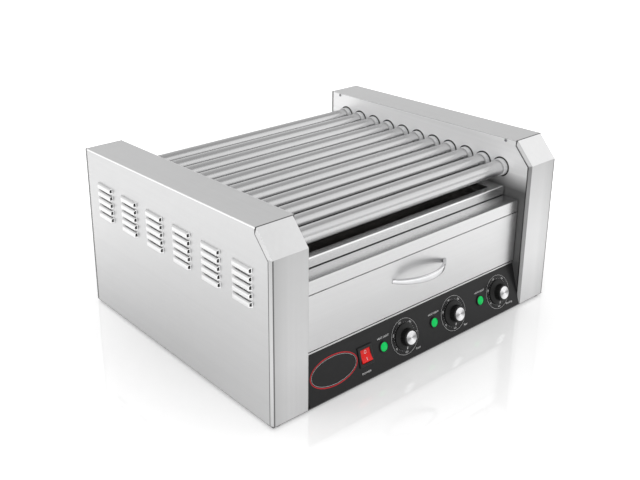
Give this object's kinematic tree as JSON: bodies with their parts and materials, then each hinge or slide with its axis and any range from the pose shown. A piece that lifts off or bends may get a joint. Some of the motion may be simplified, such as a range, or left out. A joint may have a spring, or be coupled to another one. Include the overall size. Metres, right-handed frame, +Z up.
{
  "type": "hot dog roller grill",
  "caption": "Countertop hot dog roller grill: heated steel rollers between louvred housings, sliding drip tray, bun drawer, and a sloped panel with knobs, lamps and a rocker switch.",
  "frame": {"origin": "on the table, under the middle of the grill", "axes": "+X to the right seen from the front, -Y to the front, +Z up"},
  "size_m": [0.588, 0.4822, 0.2802],
  "materials": {
    "body_steel": "brushed",
    "roller_steel": "satin",
    "zinc_steel": "plain",
    "polished_steel": "polished",
    "heater_sheath": "dull",
    "bush_plastic": "satin",
    "panel_black": "satin film",
    "knob_black": "satin",
    "cap_silver": "spun",
    "lens_green": "gloss",
    "rocker_red": "gloss",
    "motor_grey": "satin",
    "foot_rubber": "matt"
  },
  "bodies": {
    "chassis": {"inner_wall_right": "body_steel", "inner_wall_left": "body_steel", "front_post_right": "body_steel", "front_post_left": "body_steel", "outer_cover_right": "body_steel", "outer_cover_left": "body_steel", "rear_panel": "body_steel", "base_plate": "body_steel", "rubber_feet": "foot_rubber", "cover_screws": "polished_steel", "cable_gland": "knob_black", "roller_bushings": "bush_plastic", "heater_rods": "heater_sheath", "heater_supports": "zinc_steel", "drive_chain": "zinc_steel", "motor_bracket": "zinc_steel", "gear_motor": "motor_grey", "warmer_deck": "body_steel", "warmer_floor": "body_steel", "warmer_element": "heater_sheath", "drawer_runners": "zinc_steel", "control_panel": "panel_black", "thermostats": "zinc_steel", "lamp_lenses": "lens_green", "lamp_bezels": "knob_black", "switch_housing": "knob_black"},
    "roller_01": {"roller_tube_01": "roller_steel", "roller_sprocket_01": "zinc_steel"},
    "roller_02": {"roller_tube_02": "roller_steel", "roller_sprocket_02": "zinc_steel"},
    "roller_03": {"roller_tube_03": "roller_steel", "roller_sprocket_03": "zinc_steel"},
    "roller_04": {"roller_tube_04": "roller_steel", "roller_sprocket_04": "zinc_steel"},
    "roller_05": {"roller_tube_05": "roller_steel", "roller_sprocket_05": "zinc_steel"},
    "roller_06": {"roller_tube_06": "roller_steel", "roller_sprocket_06": "zinc_steel"},
    "roller_07": {"roller_tube_07": "roller_steel", "roller_sprocket_07": "zinc_steel"},
    "roller_08": {"roller_tube_08": "roller_steel", "roller_sprocket_08": "zinc_steel"},
    "roller_09": {"roller_tube_09": "roller_steel", "roller_sprocket_09": "zinc_steel"},
    "roller_10": {"roller_tube_10": "roller_steel", "roller_sprocket_10": "zinc_steel"},
    "roller_11": {"roller_tube_11": "roller_steel", "roller_sprocket_11": "zinc_steel"},
    "drive": {"drive_sprocket": "zinc_steel"},
    "tray": {"drip_tray": "body_steel"},
    "drawer": {"drawer_box": "body_steel", "drawer_front": "body_steel", "drawer_handle": "polished_steel"},
    "dial_right": {"knob_right": "knob_black", "knob_cap_right": "cap_silver"},
    "dial_middle": {"knob_middle": "knob_black", "knob_cap_middle": "cap_silver"},
    "dial_left": {"knob_left": "knob_black", "knob_cap_left": "cap_silver"},
    "switch_rocker": {"rocker": "rocker_red"}
  },
  "joints": [
    {"name": "roller_01_spin", "type": "hinge", "parent": "chassis", "child": "roller_01", "pos_m": [0, -0.1745, 0.23], "axis": [1, 0, 0], "continuous": true},
    {"name": "roller_02_spin", "type": "hinge", "parent": "chassis", "child": "roller_02", "pos_m": [0, -0.138, 0.23], "axis": [1, 0, 0], "continuous": true},
    {"name": "roller_03_spin", "type": "hinge", "parent": "chassis", "child": "roller_03", "pos_m": [0, -0.1015, 0.23], "axis": [1, 0, 0], "continuous": true},
    {"name": "roller_04_spin", "type": "hinge", "parent": "chassis", "child": "roller_04", "pos_m": [0, -0.065, 0.23], "axis": [1, 0, 0], "continuous": true},
    {"name": "roller_05_spin", "type": "hinge", "parent": "chassis", "child": "roller_05", "pos_m": [0, -0.0285, 0.23], "axis": [1, 0, 0], "continuous": true},
    {"name": "roller_06_spin", "type": "hinge", "parent": "chassis", "child": "roller_06", "pos_m": [0, 0.008, 0.23], "axis": [1, 0, 0], "continuous": true},
    {"name": "roller_07_spin", "type": "hinge", "parent": "chassis", "child": "roller_07", "pos_m": [0, 0.0445, 0.23], "axis": [1, 0, 0], "continuous": true},
    {"name": "roller_08_spin", "type": "hinge", "parent": "chassis", "child": "roller_08", "pos_m": [0, 0.081, 0.23], "axis": [1, 0, 0], "continuous": true},
    {"name": "roller_09_spin", "type": "hinge", "parent": "chassis", "child": "roller_09", "pos_m": [0, 0.1175, 0.23], "axis": [1, 0, 0], "continuous": true},
    {"name": "roller_10_spin", "type": "hinge", "parent": "chassis", "child": "roller_10", "pos_m": [0, 0.154, 0.23], "axis": [1, 0, 0], "continuous": true},
    {"name": "roller_11_spin", "type": "hinge", "parent": "chassis", "child": "roller_11", "pos_m": [0, 0.1905, 0.23], "axis": [1, 0, 0], "continuous": true},
    {"name": "drive_spin", "type": "hinge", "parent": "chassis", "child": "drive", "pos_m": [-0.2366, 0.008, 0.123], "axis": [1, 0, 0], "continuous": true},
    {"name": "tray_slide", "type": "slide", "parent": "chassis", "child": "tray", "axis": [0, -1, 0], "range_m": [0, 0.3]},
    {"name": "drawer_slide", "type": "slide", "parent": "chassis", "child": "drawer", "axis": [0, -1, 0], "range_m": [0, 0.28]},
    {"name": "dial_right_turn", "type": "hinge", "parent": "chassis", "child": "dial_right", "pos_m": [0.1805, -0.22296, 0.03877], "axis": [0, 0.9603, -0.279], "range_deg": [0, 270]},
    {"name": "dial_middle_turn", "type": "hinge", "parent": "chassis", "child": "dial_middle", "pos_m": [0.07325, -0.22296, 0.03877], "axis": [0, 0.9603, -0.279], "range_deg": [0, 270]},
    {"name": "dial_left_turn", "type": "hinge", "parent": "chassis", "child": "dial_left", "pos_m": [-0.034, -0.22296, 0.03877], "axis": [0, 0.9603, -0.279], "range_deg": [0, 270]},
    {"name": "rocker_tilt", "type": "hinge", "parent": "chassis", "child": "switch_rocker", "pos_m": [-0.1147, -0.22152, 0.03835], "axis": [1, 0, 0], "range_deg": [0, 22]}
  ],
  "couplings": [
    {"joint": "roller_02_spin", "follows": "roller_01_spin", "ratio": 1},
    {"joint": "roller_03_spin", "follows": "roller_01_spin", "ratio": 1},
    {"joint": "roller_04_spin", "follows": "roller_01_spin", "ratio": 1},
    {"joint": "roller_05_spin", "follows": "roller_01_spin", "ratio": 1},
    {"joint": "roller_06_spin", "follows": "roller_01_spin", "ratio": 1},
    {"joint": "roller_07_spin", "follows": "roller_01_spin", "ratio": 1},
    {"joint": "roller_08_spin", "follows": "roller_01_spin", "ratio": 1},
    {"joint": "roller_09_spin", "follows": "roller_01_spin", "ratio": 1},
    {"joint": "roller_10_spin", "follows": "roller_01_spin", "ratio": 1},
    {"joint": "roller_11_spin", "follows": "roller_01_spin", "ratio": 1},
    {"joint": "drive_spin", "follows": "roller_01_spin", "ratio": 0.8}
  ]
}
